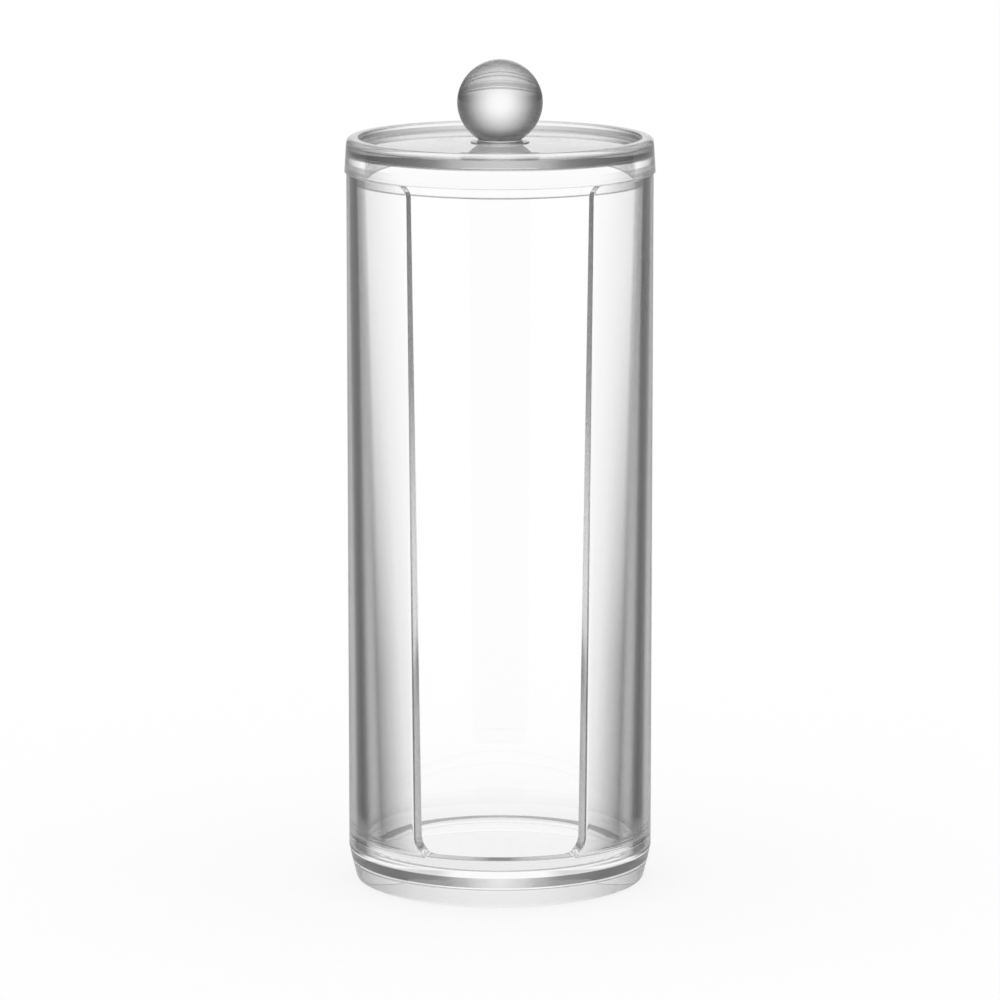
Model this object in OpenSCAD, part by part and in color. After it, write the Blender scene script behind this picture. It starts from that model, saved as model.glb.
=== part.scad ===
// Cotton pad container: a clear moulded jar with a tall front slot, a lift-off lid and a ball knob.
// The jar stands on its foot ring at z = 0, its axis is Z and its slot faces -Y.

/* [Body] */
// Outer diameter of the wall
body_d = 70; // [64:0.5:90]
// Height of the mouth's rim above the table
body_h = 164.1; // [90:0.1:240]
// Wall thickness at the mouth
mouth_wall = 1.8; // [1.2:0.1:2.8]
// Wall thickness at the floor, where the moulding is thickest
base_wall = 3.4; // [2:0.1:5]
// Thickness of the floor
floor_t = 3; // [2:0.1:5]
// Radius of the bend between the floor and the wall
floor_fillet = 6.5; // [0.5:0.25:8]
// Rounding of the rim's two edges
rim_edge_r = 0.3; // [0.1:0.05:0.5]

/* [Foot] */
// Height of the tapered foot
foot_h = 4.6; // [3:0.1:7]
// Height of the sloping shoulder between the foot and the wall
shoulder_h = 2.9; // [1:0.1:5]
// How far the shoulder steps in from the wall
shoulder_in = 0.6; // [0.2:0.1:1.5]
// How far the foot narrows from its top to the table
foot_taper = 1.2; // [0:0.1:2]
// Depth of the hollow under the floor
foot_recess = 4.2; // [1.5:0.1:6]
// Width of the ring that touches the table
foot_ring_w = 2; // [1.5:0.1:5]
// Rounding of the ring's edges
foot_edge_r = 0.5; // [0.1:0.1:0.7]

/* [Slot] */
// Width of the front slot at the rim, across its outer edges
slot_top_w = 41.9; // [20:0.1:50]
// Width of the front slot at its sill, across its outer edges
slot_sill_w = 39.1; // [20:0.1:50]
// Height of the slot's sill above the floor
sill_h = 4.1; // [3.8:0.1:60]
// Radius of the slot's two lower corners
sill_corner_r = 4; // [1:0.25:10]
// Radius of the wall's two upper corners, beside the slot
lip_corner_r = 2.6; // [0.5:0.1:8]

/* [Lid] */
// Height of the lid above the rim
lid_h = 8; // [6.5:0.1:14]
// How far the lid's lower edge stands out past the wall
lid_overhang = 0.45; // [0:0.05:2]
// How far the lid narrows from its lower edge to its top
lid_taper = 0.5; // [0:0.05:1.5]
// Rounding of the lid's upper outer edge
lid_edge_r = 1.2; // [0.3:0.1:1.2]
// Depth of the shallow tray in the lid's top, at the tray's edge
tray_depth = 1.95; // [0.5:0.05:2]
// How far the tray's floor rises from its edge to the knob's seat
tray_rise = 0.65; // [0:0.05:1.2]
// Width of the raised border round the tray
border_w = 2.6; // [1.7:0.1:5]
// Thickness of the lid's plate at the tray's edge
plate_t = 1.85; // [1.5:0.05:4.4]
// How far the lid's locating ring reaches into the mouth
plug_depth = 2.4; // [1:0.1:8]
// Wall thickness of the locating ring
plug_wall = 1.8; // [1.2:0.1:3]
// Radial gap between the locating ring and the mouth
plug_gap = 0.3; // [0.1:0.05:0.6]
// Rounding of the locating ring's lower edges
plug_edge_r = 0.3; // [0.1:0.05:0.5]

/* [Knob] */
// Diameter of the ball
ball_d = 19.5; // [12:0.1:30]
// Diameter of the ball's neck
neck_d = 9.8; // [6:0.1:11]
// Diameter of the neck's flared base
flare_d = 13.4; // [12:0.1:20]
// Height of the neck, from its seat in the tray to the ball
neck_h = 0.7; // [0.4:0.1:3]
// Thickness of the flared base at its rim
flare_t = 0.2; // [0.1:0.05:0.3]

/* [Hidden] */
$fn = 96;
arc_steps = 8;

body_r = body_d / 2;
mouth_r = body_r - mouth_wall;
base_r = body_r - base_wall;
floor_z = foot_recess + floor_t;
sill_z = floor_z + sill_h;
shoulder_z = foot_h + shoulder_h;
foot_top_r = body_r - shoulder_in;
foot_r = foot_top_r - foot_taper;
hollow_r = foot_r - foot_ring_w;

plug_r = mouth_r - plug_gap;
plug_inner_r = plug_r - plug_wall;
plug_z = body_h - plug_depth;
lid_r = body_r + lid_overhang;
lid_top_r = lid_r - lid_taper;
lid_z = body_h + lid_h;
tray_z = lid_z - tray_depth;
seat_z = tray_z + tray_rise;
tray_r = lid_top_r - border_w;
plate_z = tray_z - plate_t;

ball_r = ball_d / 2;
neck_r = neck_d / 2;
flare_r = flare_d / 2;
neck_z = seat_z + neck_h;
ball_z = neck_z + sqrt(ball_r * ball_r - neck_r * neck_r);

// Distance by which a cutter reaches past the surface that it cuts
past = 2;
// The slot's outline is drawn on an upright plane in front of the axis, this far from it
outline_y = body_r * cos(asin(slot_sill_w / body_d));
near_y = outline_y / 2;
far_y = body_r + past;

// Points of an arc from angle a0 to angle a1
function arc(cx, cy, r, a0, a1) =
    [for (i = [0 : arc_steps]) let (a = a0 + (a1 - a0) * i / arc_steps) [cx + r * cos(a), cy + r * sin(a)]];

// Half-width, on the outline's plane, of a slot that is w wide across the wall's outside
function on_outline(w) = outline_y * tan(asin(w / body_d));

// Half of the jar's section, from the middle of its underside round to the middle of its floor
module body_section() {
    polygon(concat(
        [[0, foot_recess]],
        arc(hollow_r - foot_edge_r, foot_recess - foot_edge_r, foot_edge_r, 90, 0),
        arc(hollow_r + foot_edge_r, foot_edge_r, foot_edge_r, 180, 270),
        arc(foot_r - foot_edge_r, foot_edge_r, foot_edge_r, 270, 360),
        [[foot_top_r, foot_h], [body_r, shoulder_z]],
        arc(body_r - rim_edge_r, body_h - rim_edge_r, rim_edge_r, 0, 90),
        arc(mouth_r + rim_edge_r, body_h - rim_edge_r, rim_edge_r, 90, 180),
        arc(base_r - floor_fillet, floor_z + floor_fillet, floor_fillet, 0, -90),
        [[0, floor_z]]
    ));
}

// The slot's outline, run up past the rim, with its lower corners and the wall's upper corners rounded
module slot_outline() {
    top_z = body_h + sill_corner_r + past;
    sill_x = on_outline(slot_sill_w);
    top_x = on_outline(slot_top_w);
    offset(r = -lip_corner_r) offset(r = lip_corner_r) {
        offset(r = sill_corner_r) offset(r = -sill_corner_r)
            polygon([
                [-sill_x, sill_z], [sill_x, sill_z],
                [top_x, body_h], [top_x, top_z],
                [-top_x, top_z], [-top_x, body_h]
            ]);
        translate([-body_r, body_h])
            square([body_d, top_z - body_h]);
    }
}

// The cutter widens from the axis, so that the slot's two sides point at the axis
module slot_cutter() {
    translate([0, -near_y, 0])
        rotate([90, 0, 0])
            linear_extrude(height = far_y - near_y, scale = [far_y / near_y, 1], slices = 1)
                scale([near_y / outline_y, 1])
                    slot_outline();
}

module body() {
    color("aliceblue", 0.35)
        difference() {
            rotate_extrude() body_section();
            slot_cutter();
        }
}

// Half of the lid's section: plate with a raised border, side wall, and the ring that drops into the mouth
module lid_section() {
    polygon(concat(
        [[0, plate_z], [plug_inner_r, plate_z]],
        arc(plug_inner_r + plug_edge_r, plug_z + plug_edge_r, plug_edge_r, 180, 270),
        arc(plug_r - plug_edge_r, plug_z + plug_edge_r, plug_edge_r, 270, 360),
        [[plug_r, body_h], [lid_r, body_h]],
        arc(lid_top_r - lid_edge_r, lid_z - lid_edge_r, lid_edge_r, 0, 90),
        [[tray_r, lid_z], [tray_r, tray_z], [flare_r, seat_z], [0, seat_z]]
    ));
}

module lid() {
    color("aliceblue", 0.35)
        rotate_extrude() lid_section();
}

// Half of the knob's section: a base that sweeps in to the neck, and the ball on it
module knob_section() {
    union() {
        difference() {
            translate([0, seat_z])
                square([flare_r, neck_h]);
            translate([flare_r, neck_z])
                scale([(flare_r - neck_r) / (neck_h - flare_t), 1])
                    circle(r = neck_h - flare_t);
        }
        intersection() {
            translate([0, ball_z])
                circle(r = ball_r);
            translate([0, neck_z - flare_t])
                square([ball_d, ball_d + neck_h]);
        }
    }
}

module knob() {
    color("aliceblue", 0.35)
        rotate_extrude() knob_section();
}

body();
lid();
knob();
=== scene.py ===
# Clear cotton pad jar: the jar with its front slot, the lid and the ball knob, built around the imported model.
import math

import bmesh
import bpy
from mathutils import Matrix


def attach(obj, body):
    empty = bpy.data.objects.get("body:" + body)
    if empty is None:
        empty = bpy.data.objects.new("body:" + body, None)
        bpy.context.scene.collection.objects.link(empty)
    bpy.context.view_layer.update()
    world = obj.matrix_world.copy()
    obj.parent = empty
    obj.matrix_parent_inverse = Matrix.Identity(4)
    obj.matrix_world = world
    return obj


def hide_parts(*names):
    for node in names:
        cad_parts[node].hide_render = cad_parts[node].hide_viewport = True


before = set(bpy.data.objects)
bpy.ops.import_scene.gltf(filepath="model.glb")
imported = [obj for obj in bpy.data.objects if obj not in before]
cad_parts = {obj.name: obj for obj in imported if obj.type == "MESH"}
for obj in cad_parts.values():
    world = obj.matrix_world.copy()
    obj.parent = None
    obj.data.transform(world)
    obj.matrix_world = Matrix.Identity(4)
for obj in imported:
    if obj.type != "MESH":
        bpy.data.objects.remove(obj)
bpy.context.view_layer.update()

mm = 0.001
turns = 256          # steps round every turned shape; the wall is cut at the same angles
sharpAngle = math.radians(35)
hairGap = 0.03 * mm  # air left between pieces that rest on each other, so that no two faces coincide
mergeGap = 0.002 * mm
cornerStep = 0.2     # the turn, in radians, that one face of a rounded corner makes
areaWeight = 90      # how far large faces lead the shading of the corners that they share


def inEditMode(piece):
    bpy.ops.object.select_all(action="DESELECT")
    piece.select_set(True)
    bpy.context.view_layer.objects.active = piece
    bpy.ops.object.mode_set(mode="EDIT")
    return bmesh.from_edit_mesh(piece.data)


def pick(piece, mesh, verts=(), edges=(), faces=()):
    # selects just these parts of the mesh being edited
    bpy.ops.mesh.select_all(action="DESELECT")
    for part in [*verts, *edges, *faces]:
        part.select_set(True)
    bmesh.update_edit_mesh(piece.data)


def drawSection(name, corners):
    # a chain of edges in the XZ plane, drawn by extruding one vertex from corner to corner;
    # each corner is (x, z, radius), and corners with a radius are then rounded
    bpy.ops.object.select_all(action="DESELECT")
    bpy.ops.mesh.primitive_plane_add(size=mm)
    section = bpy.context.object
    section.name = name
    bpy.ops.object.mode_set(mode="EDIT")
    bpy.ops.mesh.select_mode(type="VERT")
    bpy.ops.mesh.select_all(action="SELECT")
    bpy.ops.mesh.merge(type="CENTER")
    x, z = corners[0][:2]
    bpy.ops.transform.translate(value=(x, 0, z))
    for nextX, nextZ, radius in corners[1:]:
        move = (nextX - x, 0, nextZ - z)
        bpy.ops.mesh.extrude_region_move(TRANSFORM_OT_translate={"value": move})
        x, z = nextX, nextZ
    roundCorners(section, corners)
    bpy.ops.object.mode_set(mode="OBJECT")
    return section


def roundCorners(section, corners):
    mesh = bmesh.from_edit_mesh(section.data)
    for (x0, z0, r0), (x, z, radius), (x1, z1, r1) in zip(corners, corners[1:], corners[2:]):
        if not radius:
            continue
        turn = math.atan2(z1 - z, x1 - x) - math.atan2(z - z0, x - x0)
        turn = abs((turn + math.pi) % math.tau - math.pi)
        corner = min(mesh.verts, key=lambda v: (v.co.x - x) ** 2 + (v.co.z - z) ** 2)
        bpy.ops.mesh.select_mode(type="VERT")
        pick(section, mesh, verts=[corner])
        bpy.ops.mesh.bevel(offset=radius * math.tan(turn / 2), segments=max(2, round(turn / cornerStep)),
                           affect="VERTICES", clamp_overlap=False)
        mesh = bmesh.from_edit_mesh(section.data)


def turnSection(section):
    # spins the section once round the Z axis
    inEditMode(section)
    bpy.ops.mesh.select_all(action="SELECT")
    bpy.ops.mesh.spin(steps=turns, angle=math.tau, center=(0, 0, 0), axis=(0, 0, 1), use_auto_merge=True)
    bpy.ops.mesh.select_all(action="SELECT")
    bpy.ops.mesh.remove_doubles(threshold=mergeGap)
    bpy.ops.object.mode_set(mode="OBJECT")
    return section


def finishPiece(piece, body, slot, *nodes):
    # closes the seams, turns the faces outwards and smooths all but the sharp edges
    inEditMode(piece)
    bpy.ops.mesh.select_all(action="SELECT")
    bpy.ops.mesh.remove_doubles(threshold=mergeGap)
    bpy.ops.mesh.normals_make_consistent(inside=False)
    bpy.ops.object.mode_set(mode="OBJECT")
    bpy.ops.object.shade_smooth_by_angle(angle=sharpAngle)
    weighted = piece.modifiers.new("evenShading", "WEIGHTED_NORMAL")
    weighted.keep_sharp = True
    weighted.weight = areaWeight
    bpy.ops.object.modifier_apply(modifier=weighted.name)
    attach(piece, body)
    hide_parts(*nodes)
    return piece


# The jar
jar = {
    "outerR": 35 * mm,
    "rimZ": 164.1 * mm,
    "mouthWall": 1.8 * mm,
    "baseWall": 3.4 * mm,
    "floorZ": 7.2 * mm,
    "underZ": 4.2 * mm,
    "floorBend": 6.5 * mm,    # radius of the hollow bend between the floor and the wall
    "bendSteps": 16,
    "shoulderZ": 7.5 * mm,
    "footTopZ": 4.6 * mm,
    "footTopR": 34.4 * mm,
    "footR": 33.2 * mm,
    "hollowR": 31.2 * mm,
    "shoulderRound": 0.2 * mm,
    "footRound": 0.5 * mm,
    "seamZ": 9.2 * mm,        # height at which the wall is joined to the turned base
    "slotTopWidth": 41.9 * mm,
    "slotSillWidth": 39.1 * mm,
    "sillZ": 11.3 * mm,
    "sillCorner": 4.3 * mm,
    "lipCorner": 2.8 * mm,
    "edgeRound": 0.28 * mm,   # moulded rounding of the slot's and the rim's edges
    "edgeSteps": 4,
    "sheetDepth": 3 * mm,     # depth of the flat sheet before it is wrapped to the true wall
    "nearEnd": 0.1 * mm,      # how near the sheet's ends and foot an edge or a face counts as theirs
}
jar["bendTopZ"] = jar["floorZ"] + jar["floorBend"]


def wallAt(z):
    # thins from the floor's bend to the mouth, and thickens down the bend
    if z < jar["bendTopZ"]:
        drop = jar["bendTopZ"] - z
        return jar["baseWall"] + jar["floorBend"] - math.sqrt(jar["floorBend"] ** 2 - drop ** 2)
    share = (z - jar["bendTopZ"]) / (jar["rimZ"] - jar["bendTopZ"])
    return jar["baseWall"] + (jar["mouthWall"] - jar["baseWall"]) * share


def makeWallSheet():
    # the wall unrolled flat, front slot in the middle, X along the outer surface and Y into the wall
    halfTurn = math.pi * jar["outerR"]
    topX = jar["outerR"] * math.asin(jar["slotTopWidth"] / 2 / jar["outerR"])
    sillX = jar["outerR"] * math.asin(jar["slotSillWidth"] / 2 / jar["outerR"])
    rimZ, seamZ, sillZ = jar["rimZ"], jar["seamZ"], jar["sillZ"]
    outline = [
        (halfTurn, seamZ, 0), (halfTurn, rimZ, 0),
        (topX, rimZ, jar["lipCorner"]), (sillX, sillZ, jar["sillCorner"]),
        (-sillX, sillZ, jar["sillCorner"]), (-topX, rimZ, jar["lipCorner"]),
        (-halfTurn, rimZ, 0), (-halfTurn, seamZ, 0),
    ]
    sheet = drawSection("jarWall", outline)
    inEditMode(sheet)
    bpy.ops.mesh.select_all(action="SELECT")
    bpy.ops.mesh.edge_face_add()
    bpy.ops.mesh.extrude_region_move(TRANSFORM_OT_translate={"value": (0, jar["sheetDepth"], 0)})
    mesh = bmesh.from_edit_mesh(sheet.data)

    # round every long edge but those of the two ends and the foot of the sheet
    def isRim(edge):
        a, b = (v.co for v in edge.verts)
        sameSide = abs(a.y - b.y) < jar["nearEnd"]
        onEnd = min(abs(a.x), abs(b.x)) > halfTurn - jar["nearEnd"]
        onFoot = max(a.z, b.z) < seamZ + jar["nearEnd"]
        return sameSide and not onEnd and not onFoot

    bpy.ops.mesh.select_mode(type="EDGE")
    pick(sheet, mesh, edges=[e for e in mesh.edges if isRim(e)])
    bpy.ops.mesh.bevel(offset=jar["edgeRound"], segments=jar["edgeSteps"], affect="EDGES",
                       clamp_overlap=False)

    # open the two ends and the foot, where the sheet will be joined
    mesh = bmesh.from_edit_mesh(sheet.data)

    def isOpen(face):
        spot = face.calc_center_median()
        return abs(spot.x) > halfTurn - jar["nearEnd"] or spot.z < seamZ + jar["nearEnd"]

    bpy.ops.mesh.select_mode(type="FACE")
    pick(sheet, mesh, faces=[f for f in mesh.faces if isOpen(f)])
    bpy.ops.mesh.delete(type="ONLY_FACE")
    bpy.ops.mesh.select_all(action="SELECT")
    bpy.ops.mesh.delete_loose(use_verts=True, use_edges=True, use_faces=False)

    # cut the sheet across where the wall bends into the floor
    for step in range(1, jar["bendSteps"] + 1):
        bpy.ops.mesh.select_all(action="SELECT")
        place = seamZ + (jar["bendTopZ"] - seamZ) * step / jar["bendSteps"]
        bpy.ops.mesh.bisect(plane_co=(0, 0, place), plane_no=(0, 0, 1))

    # cut the sheet into upright strips, so that it can be bent round
    for step in range(1, turns):
        bpy.ops.mesh.select_all(action="SELECT")
        place = -halfTurn + 2 * halfTurn * step / turns
        bpy.ops.mesh.bisect(plane_co=(place, 0, 0), plane_no=(1, 0, 0))
    bpy.ops.object.mode_set(mode="OBJECT")
    return sheet


def wrapWall(sheet):
    # bends the flat sheet round the axis and thins it towards the mouth
    for vert in sheet.data.vertices:
        x, y, z = vert.co
        angle = x / jar["outerR"]
        radius = jar["outerR"] - y / jar["sheetDepth"] * wallAt(z)
        vert.co = (radius * math.sin(angle), -radius * math.cos(angle), z)
    sheet.data.update()


def makeJar():
    seamZ = jar["seamZ"]
    outside = turnSection(drawSection("jarFoot", [
        (jar["outerR"], seamZ, 0),
        (jar["outerR"], jar["shoulderZ"], jar["shoulderRound"]),
        (jar["footTopR"], jar["footTopZ"], jar["shoulderRound"]),
        (jar["footR"], 0, jar["footRound"]),
        (jar["hollowR"], 0, jar["footRound"]),
        (jar["hollowR"], jar["underZ"], jar["footRound"]),
        (0, jar["underZ"], 0),
    ]))

    # the bend's arc, from the height at which the wall is joined down to the floor
    start = math.asin((jar["bendTopZ"] - seamZ) / jar["floorBend"])
    flatR = jar["outerR"] - jar["baseWall"] - jar["floorBend"]
    bend = []
    for step in range(jar["bendSteps"] + 1):
        a = start + (math.pi / 2 - start) * step / jar["bendSteps"]
        bend.append((flatR + jar["floorBend"] * math.cos(a),
                     jar["bendTopZ"] - jar["floorBend"] * math.sin(a), 0))
    inside = turnSection(drawSection("jarFloor", bend + [(0, jar["floorZ"], 0)]))
    wall = makeWallSheet()
    wrapWall(wall)
    bpy.ops.object.select_all(action="DESELECT")
    for part in (outside, inside, wall):
        part.select_set(True)
    bpy.context.view_layer.objects.active = wall
    bpy.ops.object.join()
    wall.name = wall.data.name = "clearJar"
    return finishPiece(wall, "jar", "clear_body", "body")


clearJar = makeJar()
print("jar:", len(clearJar.data.polygons), "faces")

# The lid
lid = {
    "rimZ": jar["rimZ"] + hairGap,
    "topZ": 172.1 * mm,
    "lipR": 35.45 * mm,
    "topR": 34.95 * mm,
    "topRound": 1.2 * mm,
    "trayR": 32.35 * mm,
    "trayZ": 170.15 * mm,
    "seatZ": 170.8 * mm,      # the tray's floor rises to the knob's seat
    "seatR": 6.7 * mm,
    "plateUnderZ": 168.3 * mm,
    "ringInnerR": 31.1 * mm,
    "ringR": 32.9 * mm,
    "ringZ": 161.7 * mm,
    "ringRound": 0.3 * mm,
    "cornerRound": 0.4 * mm,  # where the ring meets the plate's underside
    "seatRound": 0.15 * mm,   # where the ring meets the lip
    "lipRound": 0.2 * mm,
    "trayRound": 0.25 * mm,
}


def makeLid():
    section = turnSection(drawSection("clearLid", [
        (0, lid["plateUnderZ"], 0),
        (lid["ringInnerR"], lid["plateUnderZ"], lid["cornerRound"]),
        (lid["ringInnerR"], lid["ringZ"], lid["ringRound"]),
        (lid["ringR"], lid["ringZ"], lid["ringRound"]),
        (lid["ringR"], lid["rimZ"], lid["seatRound"]),
        (lid["lipR"], lid["rimZ"], lid["lipRound"]),
        (lid["topR"], lid["topZ"], lid["topRound"]),
        (lid["trayR"], lid["topZ"], lid["trayRound"]),
        (lid["trayR"], lid["trayZ"], lid["trayRound"]),
        (lid["seatR"], lid["seatZ"], 0),
        (0, lid["seatZ"], 0),
    ]))
    return finishPiece(section, "cover", "clear_lid", "lid")


clearLid = makeLid()
print("lid:", len(clearLid.data.polygons), "faces")

# The knob
knob = {
    "ballR": 9.75 * mm,
    "neckR": 4.9 * mm,
    "neckZ": 171.5 * mm,
    "flareR": 6.7 * mm,
    "flareZ": 171 * mm,
    "seatZ": lid["seatZ"] + hairGap,
    "flareSteps": 6,
    "ballSteps": 64,
}


def makeKnob():
    # flared base and neck, then the ball's outline as one arc up to the axis
    ballZ = knob["neckZ"] + math.sqrt(knob["ballR"] ** 2 - knob["neckR"] ** 2)
    start = -math.acos(knob["neckR"] / knob["ballR"])
    corners = [(0, knob["seatZ"], 0), (knob["flareR"], knob["seatZ"], 0)]
    for step in range(knob["flareSteps"]):
        # the flare sweeps in to the neck along a quarter of an ellipse
        a = math.pi / 2 * step / knob["flareSteps"]
        corners.append((knob["flareR"] - (knob["flareR"] - knob["neckR"]) * math.sin(a),
                        knob["neckZ"] - (knob["neckZ"] - knob["flareZ"]) * math.cos(a), 0))
    for step in range(knob["ballSteps"] + 1):
        a = start + (math.pi / 2 - start) * step / knob["ballSteps"]
        corners.append((knob["ballR"] * math.cos(a), ballZ + knob["ballR"] * math.sin(a), 0))
    section = turnSection(drawSection("clearKnob", corners))
    return finishPiece(section, "cover", "clear_knob", "knob")


clearKnob = makeKnob()
print("knob:", len(clearKnob.data.polygons), "faces")

# Clear acrylic, one finish and its painted shade for each moulding
acrylic = {
    "ior": 1.49,
    "flowScale": 34,              # waves left by the mould, per metre
    "flowDetail": 1,
    "flowDepth": 0.02 * mm,
    "wearScale": 900,             # fine handling marks, per metre
    "wearDetail": 3,
    "wearRange": (0.45, 0.8),
    "wearRoughness": (0.0, 0.035),
    "bandFade": 0.1 * mm,
    "uprightRange": (0.5, 0.3),   # how far a face's normal points up or down: from too flat to upright
    "clear_body": {
        # painted shade across the wall, in from its outline in wall thicknesses, at the top and low down
        "wallStops": [(0, 0.5), (0.25, 0.4), (0.45, 0.09), (1.25, 0.08), (1.45, 0.3), (1.8, 0.38),
                      (2.2, 0.55), (2.5, 0.8), (3.2, 0.86), (4.6, 0.92), (5.8, 0.97), (7, 1)],
        "lowStops": [(0, 0.5), (0.35, 0.45), (0.6, 0.13), (0.9, 0.07), (1.15, 0.15), (1.5, 0.42),
                     (1.75, 0.42), (2.1, 0.26), (2.5, 0.42), (3.1, 0.6), (3.9, 0.82), (5, 0.95), (7, 1)],
        "stopsTo": 7,
        "lowFrom": 145 * mm,
        "lowFull": 55 * mm,
        "wallDepth": 0.7 * mm,    # the painted shade lies on the wall's outside, to this depth
        "wallLeaving": 0.4,       # how much of the painted shade the far side of a path through the wall takes
        "edgeLow": 0.85,          # how strong the painted shade is at the foot, which has painted shade bands of its own below it
        "edgeFrom": 7.6 * mm,
        "edgeFull": 17 * mm,
        "cutShade": 0.15,          # painted shade on the slot's two cut sides, near the rim
        "cutRoughness": 0.22,     # they are less polished than the rest
        "cutFrom": 50 * mm,
        "cutFull": 120 * mm,
        "cutMost": 0.5,           # how far a cut side's normal may stray along the radius and up
        # painted dark line along the sill, its levels from the middle outwards
        "sillStops": [(0, 0.0), (0.14, 0.03), (0.22, 0.2), (0.36, 0.4), (0.6, 0.5), (1, 0.6)],
        "sillReach": 16 * mm,
        "sillFlat": 0.9,
        "sillFacing": (0.4, 0.7),
        "paintedShadeBands": [
            # painted shade: dark patches over the shoulder's two ends, where the wall bends into the floor
            {"stops": [(0.0, 1.0), (0.42, 1.0), (0.5, 0.5), (0.56, 0.08), (0.7, 0.04), (0.78, 0.3),
                       (1.0, 0.6)],
             "low": 8.6 * mm, "high": 11.4 * mm, "outerR": 34 * mm, "leaving": 0, "upright": True},
            {"stops": [(0.0, 1.0), (0.5, 1.0), (0.6, 0.3), (0.68, 0.06), (0.9, 0.08), (1.0, 0.3)],
             "low": 7.4 * mm, "high": 8.2 * mm, "outerR": 34 * mm, "leaving": 0, "upright": True},
            # painted shade where the floor is seen on edge through the foot, and on the foot's ring under it
            {"stops": [(0.0, 1.0), (0.09, 1.0), (0.1, 0.55), (0.125, 0.25), (0.16, 0.12), (0.35, 0.05),
                       (0.6, 0.05)],
             "low": 4.7 * mm, "high": 7.2 * mm, "outerR": 31.7 * mm, "leaving": 0, "upright": True},
            {"stops": [(0.0, 1.0), (0.12, 1.0), (0.3, 0.75), (0.5, 0.45), (0.8, 0.25)],
             "low": -1 * mm, "high": 4.3 * mm, "outerR": 31.7 * mm, "leaving": 0, "upright": True},
        ],
    },
    "clear_lid": {
        # painted shade towards the lid's outline, and lighter painted shade where it points up
        "edgeStops": [(0.0, 1.0), (0.22, 1.0), (0.3, 0.9), (0.4, 0.65), (0.5, 0.42), (0.63, 0.18),
                      (0.73, 0.15), (0.8, 0.15), (1.0, 0.35)],
        "flatStops": [(0.0, 1.0), (0.5, 1.0), (0.7, 0.7), (0.8, 0.35), (1.0, 0.3)],
        "flatRange": (0.3, 0.6),
        "paintedShadeBands": [
            # painted shade where the plate is seen on edge, and on the border above it
            {"stops": [(0.0, 0.6), (0.04, 0.42), (0.08, 0.3), (0.16, 0.2), (0.29, 0.16), (0.45, 0.1),
                       (0.7, 0.05), (1.0, 0.03)],
             "low": 168.2 * mm, "high": 171 * mm, "outerR": 33.6 * mm, "leaving": 1, "upright": True},
            {"stops": [(0.0, 0.95), (0.3, 0.8), (0.6, 0.55), (0.8, 0.6), (1.0, 0.5)],
             "low": 171 * mm, "high": 173 * mm, "outerR": 33.6 * mm, "leaving": 1, "upright": True},
            # painted shade on the side under the plate, dark only at its ends
            {"stops": [(0.0, 1.0), (0.55, 1.0), (0.7, 0.45), (0.8, 0.12), (1.0, 0.06)],
             "low": 166.7 * mm, "high": 168.2 * mm, "outerR": 33.6 * mm, "leaving": 0.5, "upright": True},
            # painted dark lines where the border's rounding ends
            {"stops": [(0.0, 0.6), (0.5, 0.35), (0.8, 0.1), (1.0, 0.05)],
             "low": 171.9 * mm, "high": 172.08 * mm, "outerR": 33.4 * mm, "leaving": 0, "upright": False},
            {"stops": [(0.0, 0.8), (0.5, 0.5), (0.8, 0.1), (1.0, 0.05)],
             "low": 170.75 * mm, "high": 171.05 * mm, "outerR": 34.6 * mm, "leaving": 0, "upright": True},
            # a painted dark line at the locating ring's lower edge
            {"stops": [(0.0, 0.4), (1.0, 0.3)],
             "low": 161 * mm, "high": 162 * mm, "outerR": 30 * mm, "leaving": 1, "upright": False},
        ],
    },
    "clear_knob": {
        # painted shade towards the ball's outline, and lighter painted shade on its top
        "edgeStops": [(0.0, 1.0), (0.02, 0.94), (0.08, 0.66), (0.16, 0.42), (0.26, 0.2), (0.36, 0.09),
                      (0.5, 0.04), (0.7, 0.02), (1.0, 0.02)],
        "topStops": [(0.0, 1.0), (0.25, 0.95), (0.36, 0.85), (0.48, 0.5), (0.65, 0.3), (1.0, 0.15)],
        "topRange": (0.2, 0.7),
        "paintedShadeBands": [],
    },
}
white = (1, 1, 1, 1)


def grey(level):
    return (level, level, level, 1)


def feed(links, socket, value):
    # a number or a colour is set, anything else is a socket to link
    if isinstance(value, (int, float, tuple)):
        socket.default_value = value
    else:
        links.new(value, socket)


def addMath(nodes, links, operation, first, second=0):
    step = nodes.new("ShaderNodeMath")
    step.operation = operation
    feed(links, step.inputs[0], first)
    feed(links, step.inputs[1], second)
    return step.outputs["Value"]


def addProduct(nodes, links, *factors):
    product = factors[0]
    for factor in factors[1:]:
        product = addMath(nodes, links, "MULTIPLY", product, factor)
    return product


def addDot(nodes, links, first, second):
    # the dot product of two pairs of sockets, each an X and a Y
    products = [addMath(nodes, links, "MULTIPLY", a, b) for a, b in zip(first, second)]
    return addMath(nodes, links, "ADD", *products)


def addRamp(nodes, links, stops, value):
    ramp = nodes.new("ShaderNodeValToRGB")
    points = ramp.color_ramp.elements
    for index, (spot, level) in enumerate(stops):
        point = points[index] if index < 2 else points.new(spot)
        point.position = spot
        point.color = grey(level)
    links.new(value, ramp.inputs["Fac"])
    return ramp.outputs["Color"]


def addStep(nodes, links, value, low, high, lowResult=0, highResult=1):
    step = nodes.new("ShaderNodeMapRange")
    step.inputs["From Min"].default_value = low
    step.inputs["From Max"].default_value = high
    step.inputs["To Min"].default_value = lowResult
    step.inputs["To Max"].default_value = highResult
    links.new(value, step.inputs["Value"])
    return step.outputs["Result"]


def addShadeMix(nodes, links, share, below, above):
    # mixes two colours by a share, for the painted shade
    tint = nodes.new("ShaderNodeMix")
    tint.data_type = "RGBA"
    links.new(share, tint.inputs["Factor"])
    feed(links, tint.inputs["A"], below)
    feed(links, tint.inputs["B"], above)
    return tint.outputs["Result"]


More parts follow.
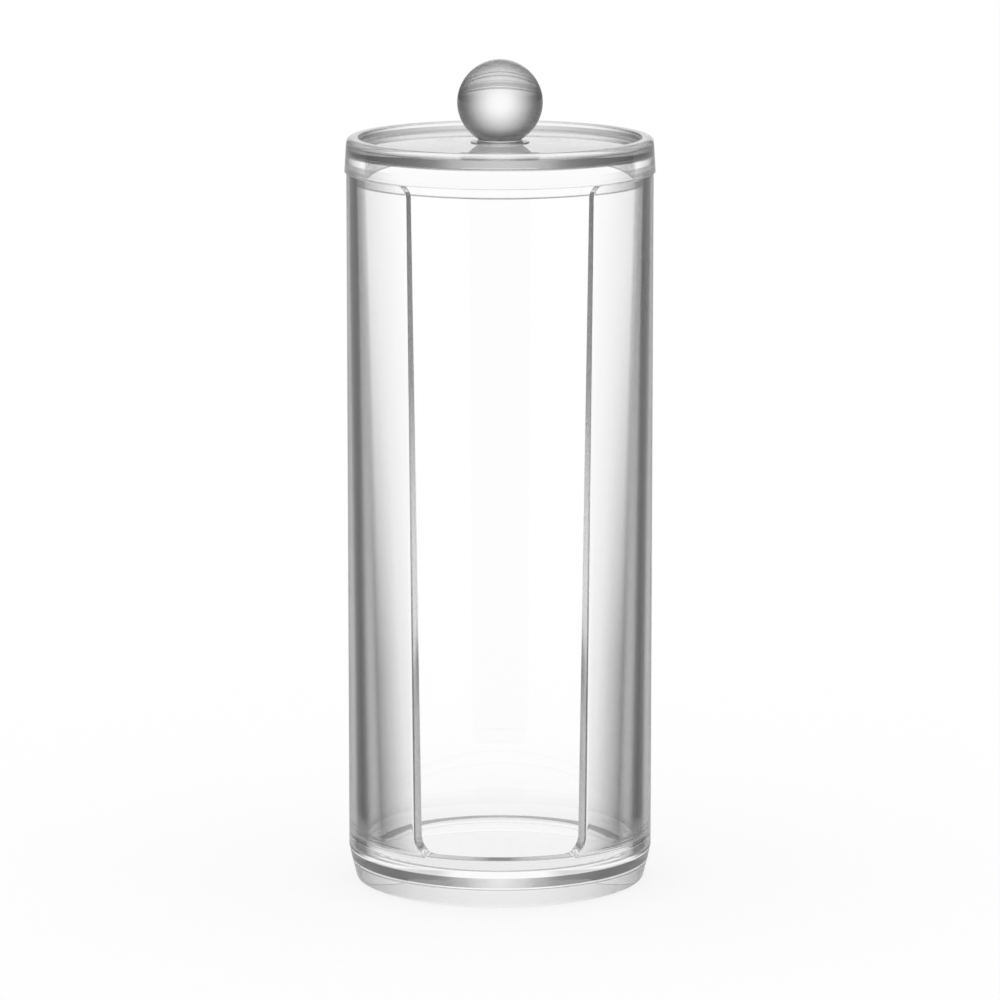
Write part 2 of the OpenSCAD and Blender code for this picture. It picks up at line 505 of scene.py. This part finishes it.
def readSurface(nodes, links):
    # where a point of the surface lies, which way it points and how it is seen
    place = nodes.new("ShaderNodeTexCoord")
    spot = nodes.new("ShaderNodeSeparateXYZ")
    links.new(place.outputs["Object"], spot.inputs["Vector"])
    normal = nodes.new("ShaderNodeSeparateXYZ")
    links.new(place.outputs["Normal"], normal.inputs["Vector"])
    across = (spot.outputs["X"], spot.outputs["Y"])
    return {
        "object": place.outputs["Object"],
        "across": across,
        "height": spot.outputs["Z"],
        "out": addMath(nodes, links, "SQRT", addDot(nodes, links, across, across)),
        "normalAcross": (normal.outputs["X"], normal.outputs["Y"]),
        "normalUp": normal.outputs["Z"],
        "flat": addMath(nodes, links, "ABSOLUTE", normal.outputs["Z"]),
        "leaving": nodes.new("ShaderNodeNewGeometry").outputs["Backfacing"],
        "facing": nodes.new("ShaderNodeLayerWeight").outputs["Facing"],
    }


def addInset(nodes, links, point):
    # how far in from the wall's outline a point is seen, in wall thicknesses
    across = addMath(nodes, links, "SUBTRACT", 1, point["facing"])
    across = addMath(nodes, links, "SUBTRACT", 1, addProduct(nodes, links, across, across))
    inset = addMath(nodes, links, "SUBTRACT", 1, addMath(nodes, links, "SQRT", across))
    wall = addStep(nodes, links, point["height"], jar["bendTopZ"], jar["rimZ"],
                   jar["baseWall"], jar["mouthWall"])
    return addMath(nodes, links, "DIVIDE", addProduct(nodes, links, inset, jar["outerR"]), wall)


def paintWallShade(nodes, links, shadeAndFinish, point):
    # painted shade: the round clear wall is painted darker where it is seen at a low angle
    inset = addMath(nodes, links, "DIVIDE", addInset(nodes, links, point), shadeAndFinish["stopsTo"])
    paintedShades = []
    for key in ("wallStops", "lowStops"):
        # the shader takes the root of a tint, so the painted shade levels are squared
        stops = [(spot / shadeAndFinish["stopsTo"], level ** 2) for spot, level in shadeAndFinish[key]]
        paintedShades.append(addRamp(nodes, links, stops, inset))
    low = addStep(nodes, links, point["height"], shadeAndFinish["lowFrom"], shadeAndFinish["lowFull"])
    share = addProduct(
        nodes, links,
        addStep(nodes, links, point["height"], shadeAndFinish["edgeFrom"], shadeAndFinish["edgeFull"], shadeAndFinish["edgeLow"], 1),
        addMath(nodes, links, "GREATER_THAN", point["height"], shadeAndFinish["edgeFrom"]),
        addStep(nodes, links, point["flat"], *acrylic["uprightRange"]),
        addStep(nodes, links, point["leaving"], 1, 0, shadeAndFinish["wallLeaving"], 1),
        addMath(nodes, links, "GREATER_THAN", point["out"], jar["outerR"] - shadeAndFinish["wallDepth"]),
    )
    return addShadeMix(nodes, links, share, white, addShadeMix(nodes, links, low, *paintedShades))


def findCut(nodes, links, shadeAndFinish, point):
    # the slot's two cut sides lie along the radius
    along = addDot(nodes, links, point["across"], point["normalAcross"])
    along = addMath(nodes, links, "ABSOLUTE", addMath(nodes, links, "DIVIDE", along, point["out"]))
    astray = addMath(nodes, links, "ADD", along, point["flat"])
    return addMath(nodes, links, "LESS_THAN", astray, shadeAndFinish["cutMost"])


def paintSlotShade(nodes, links, shadeAndFinish, point, cut, colour):
    # painted shade: the slot's cut sides are painted darker towards the rim
    high = addStep(nodes, links, point["height"], shadeAndFinish["cutFrom"], shadeAndFinish["cutFull"])
    share = addProduct(nodes, links, cut, high)
    colour = addShadeMix(nodes, links, share, colour, grey(shadeAndFinish["cutShade"]))

    # a painted dark line along the sill, where it is seen nearly on edge, darkest in its middle
    middle = addMath(nodes, links, "ABSOLUTE", point["across"][0])
    middle = addMath(nodes, links, "DIVIDE", middle, shadeAndFinish["sillReach"])
    above = addMath(nodes, links, "SUBTRACT", point["height"], jar["sillZ"])
    share = addProduct(
        nodes, links,
        addMath(nodes, links, "LESS_THAN", addMath(nodes, links, "ABSOLUTE", above), acrylic["bandFade"]),
        addMath(nodes, links, "GREATER_THAN", point["flat"], shadeAndFinish["sillFlat"]),
        addStep(nodes, links, point["facing"], *shadeAndFinish["sillFacing"]),
    )
    stops = [(spot, level ** 2) for spot, level in shadeAndFinish["sillStops"]]
    return addShadeMix(nodes, links, share, colour, addRamp(nodes, links, stops, middle))


def paintTurnedShade(nodes, links, shadeAndFinish, point):
    # painted shade: the lid and the knob are painted darker towards their outlines, and less so where they
    # point up
    colour = addRamp(nodes, links, shadeAndFinish["edgeStops"], point["facing"])
    for way, name in (("flat", "flat"), ("normalUp", "top")):
        if name + "Stops" in shadeAndFinish:
            share = addStep(nodes, links, point[way], *shadeAndFinish[name + "Range"])
            lighter = addRamp(nodes, links, shadeAndFinish[name + "Stops"], point["facing"])
            colour = addShadeMix(nodes, links, share, colour, lighter)
    return colour


def paintShadeBand(nodes, links, band, point, colour):
    # painted shade: a plate seen on edge is painted darker still, but for its middle, and an edge is painted as
    # a dark line
    fade = acrylic["bandFade"]
    factors = [
        addStep(nodes, links, point["height"], band["low"], band["low"] + fade),
        addStep(nodes, links, point["height"], band["high"], band["high"] - fade),
        addStep(nodes, links, point["leaving"], 1, 0, band["leaving"], 1),
        addMath(nodes, links, "GREATER_THAN", point["out"], band["outerR"]),
    ]
    if band["upright"]:
        factors.append(addStep(nodes, links, point["flat"], *acrylic["uprightRange"]))
    share = addProduct(nodes, links, *factors)
    return addShadeMix(nodes, links, share, colour, addRamp(nodes, links, band["stops"], point["facing"]))


def addFlow(nodes, links, point):
    # slow waves in the moulded surface
    flow = nodes.new("ShaderNodeTexNoise")
    flow.inputs["Scale"].default_value = acrylic["flowScale"]
    flow.inputs["Detail"].default_value = acrylic["flowDetail"]
    bump = nodes.new("ShaderNodeBump")
    bump.inputs["Strength"].default_value = 1
    bump.inputs["Distance"].default_value = acrylic["flowDepth"]
    links.new(point["object"], flow.inputs["Vector"])
    links.new(flow.outputs["Fac"], bump.inputs["Height"])
    return bump.outputs["Normal"]


def addWear(nodes, links, point):
    # faint handling marks in the polish
    wear = nodes.new("ShaderNodeTexNoise")
    wear.inputs["Scale"].default_value = acrylic["wearScale"]
    wear.inputs["Detail"].default_value = acrylic["wearDetail"]
    links.new(point["object"], wear.inputs["Vector"])
    return addStep(nodes, links, wear.outputs["Fac"], *acrylic["wearRange"], *acrylic["wearRoughness"])


def makeAcrylic(name):
    shadeAndFinish = acrylic[name]
    material = bpy.data.materials.new(name)
    material.use_nodes = True
    nodes, links = material.node_tree.nodes, material.node_tree.links
    shader = nodes["Principled BSDF"]
    shader.inputs["IOR"].default_value = acrylic["ior"]
    shader.inputs["Transmission Weight"].default_value = 1
    point = readSurface(nodes, links)
    gloss = addWear(nodes, links, point)
    if "wallStops" in shadeAndFinish:
        cut = findCut(nodes, links, shadeAndFinish, point)
        satin = addProduct(nodes, links, cut, shadeAndFinish["cutRoughness"])
        gloss = addMath(nodes, links, "MAXIMUM", gloss, satin)
        colour = paintSlotShade(nodes, links, shadeAndFinish, point, cut, paintWallShade(nodes, links, shadeAndFinish, point))
    else:
        colour = paintTurnedShade(nodes, links, shadeAndFinish, point)
    for band in shadeAndFinish["paintedShadeBands"]:
        colour = paintShadeBand(nodes, links, band, point, colour)
    # the painted shade goes into the glass's base colour
    links.new(colour, shader.inputs["Base Color"])
    links.new(addFlow(nodes, links, point), shader.inputs["Normal"])
    links.new(gloss, shader.inputs["Roughness"])
    return material


for piece, slotName in ((clearJar, "clear_body"), (clearLid, "clear_lid"), (clearKnob, "clear_knob")):
    piece.data.materials.clear()
    piece.data.materials.append(makeAcrylic(slotName))
print("materials set")

# Studio: a white set, whose sides and ceiling are darker where they are seen in the plastic
studio = {
    "anyDepth": 0.5,         # a path's depth is a whole number, and this tells none from some
    "floorSize": 6,
    "floorColour": 0.22,
    "floorLift": 0.78,       # brings the lit floor up to white where nothing shades it
    "floorMirrored": 0.55,   # how bright the floor is in the outside of the plastic
    "floorInside": 1.0,      # how bright it is by way of reflections inside the plastic
    "wallMirrored": 0.25,    # the same two for the set's sides
    "wallInside": 0.7,
    "screenTo": 12,          # how far round the white screen reaches, either way, and where it has faded
    "screenFade": 18,
    "ceilingGrey": 0.55,
    "ceilingFrom": 0.35,     # sine of the height at which the white set gives way to the ceiling
    "ceilingFull": 0.6,
}


def addSetLevel(nodes, links, mirroredLevel, insideLevel):
    # 1 for what is seen directly or straight through the plastic, less for what is seen by reflection
    path = nodes.new("ShaderNodeLightPath")
    mirrored = addMath(nodes, links, "GREATER_THAN", path.outputs["Glossy Depth"], studio["anyDepth"])
    inside = addMath(nodes, links, "GREATER_THAN", path.outputs["Transmission Depth"], studio["anyDepth"])
    unlit = addMath(nodes, links, "LESS_THAN", path.outputs["Diffuse Depth"], studio["anyDepth"])
    level = nodes.new("ShaderNodeMix")
    feed(links, level.inputs["A"], mirroredLevel)
    feed(links, level.inputs["B"], insideLevel)
    links.new(inside, level.inputs["Factor"])
    both = nodes.new("ShaderNodeMix")
    both.inputs["A"].default_value = 1
    links.new(addMath(nodes, links, "MULTIPLY", mirrored, unlit), both.inputs["Factor"])
    links.new(level.outputs["Result"], both.inputs["B"])
    return both.outputs["Result"], path


bpy.ops.object.select_all(action="DESELECT")
bpy.ops.mesh.primitive_plane_add(size=studio["floorSize"], location=(0, 0, -hairGap))
floor = bpy.context.object
floor.name = "studioFloor"


def paintFloor():
    material = bpy.data.materials.new("paleFloor")
    material.use_nodes = True
    nodes, links = material.node_tree.nodes, material.node_tree.links
    shader = nodes["Principled BSDF"]
    shader.inputs["Roughness"].default_value = 1
    shader.inputs["Specular IOR Level"].default_value = 0
    level, path = addSetLevel(nodes, links, studio["floorMirrored"], studio["floorInside"])
    colour = nodes.new("ShaderNodeMix")
    colour.data_type = "RGBA"
    colour.inputs["A"].default_value = grey(0)
    colour.inputs["B"].default_value = grey(studio["floorColour"])
    links.new(level, colour.inputs["Factor"])
    links.new(colour.outputs["Result"], shader.inputs["Base Color"])

    # the floor's own light shows to the camera and in the plastic, and lights nothing
    seen = addMath(nodes, links, "MAXIMUM", path.outputs["Is Camera Ray"], path.outputs["Is Glossy Ray"])
    seen = addMath(nodes, links, "MAXIMUM", seen, path.outputs["Is Transmission Ray"])
    lift = addProduct(nodes, links, seen, studio["floorLift"], level)
    shader.inputs["Emission Color"].default_value = white
    links.new(lift, shader.inputs["Emission Strength"])
    floor.data.materials.append(material)


paintFloor()


def makeWorld():
    world = bpy.data.worlds.new("studio")
    bpy.context.scene.world = world
    world.use_nodes = True
    nodes, links = world.node_tree.nodes, world.node_tree.links
    place = nodes.new("ShaderNodeTexCoord")
    way = nodes.new("ShaderNodeSeparateXYZ")
    links.new(place.outputs["Generated"], way.inputs["Vector"])

    # in reflections the set is white behind the jar and darker at its sides
    turn = addMath(nodes, links, "ARCTAN2", way.outputs["X"], way.outputs["Y"])
    turn = addMath(nodes, links, "ABSOLUTE", turn)
    reach = (turn, math.radians(studio["screenTo"]), math.radians(studio["screenFade"]), 1)
    level, path = addSetLevel(nodes, links, addStep(nodes, links, *reach, studio["wallMirrored"]),
                              addStep(nodes, links, *reach, studio["wallInside"]))
    ceiling = nodes.new("ShaderNodeMapRange")
    ceiling.interpolation_type = "SMOOTHSTEP"
    ceiling.inputs["From Min"].default_value = studio["ceilingFrom"]
    ceiling.inputs["From Max"].default_value = studio["ceilingFull"]
    ceiling.inputs["To Min"].default_value = 1
    ceiling.inputs["To Max"].default_value = studio["ceilingGrey"]
    links.new(way.outputs["Z"], ceiling.inputs["Value"])
    passed = addMath(nodes, links, "MAXIMUM",
                     path.outputs["Is Glossy Ray"], path.outputs["Is Transmission Ray"])
    strength = nodes.new("ShaderNodeMix")
    strength.inputs["A"].default_value = 1
    links.new(passed, strength.inputs["Factor"])
    links.new(addMath(nodes, links, "MULTIPLY", ceiling.outputs["Result"], level), strength.inputs["B"])
    links.new(strength.outputs["Result"], nodes["Background"].inputs["Strength"])
    nodes["Background"].inputs["Color"].default_value = white


makeWorld()
print("studio set")

# Camera, at the photograph's distance, height and tilt
shot = {
    "distance": 1.3034,
    "height": 0.3203,
    "tilt": 10.102,
    "lens": 207.2,
    "sensorWidth": 36,
    "bounces": 64,           # clear plastic in three layers needs many
    "diffuseBounces": 3,
}
cameraData = bpy.data.cameras.new("camera")
cameraData.lens = shot["lens"]
cameraData.sensor_width = shot["sensorWidth"]
camera = bpy.data.objects.new("camera", cameraData)
camera.location = (0, -shot["distance"], shot["height"])
camera.rotation_euler = (math.radians(90 - shot["tilt"]), 0, 0)
bpy.context.scene.collection.objects.link(camera)
bpy.context.scene.camera = camera

scene = bpy.context.scene
scene.view_settings.view_transform = "Standard"
scene.cycles.max_bounces = shot["bounces"]
scene.cycles.transmission_bounces = shot["bounces"]
scene.cycles.glossy_bounces = shot["bounces"]
scene.cycles.diffuse_bounces = shot["diffuseBounces"]
scene.cycles.use_denoising = True
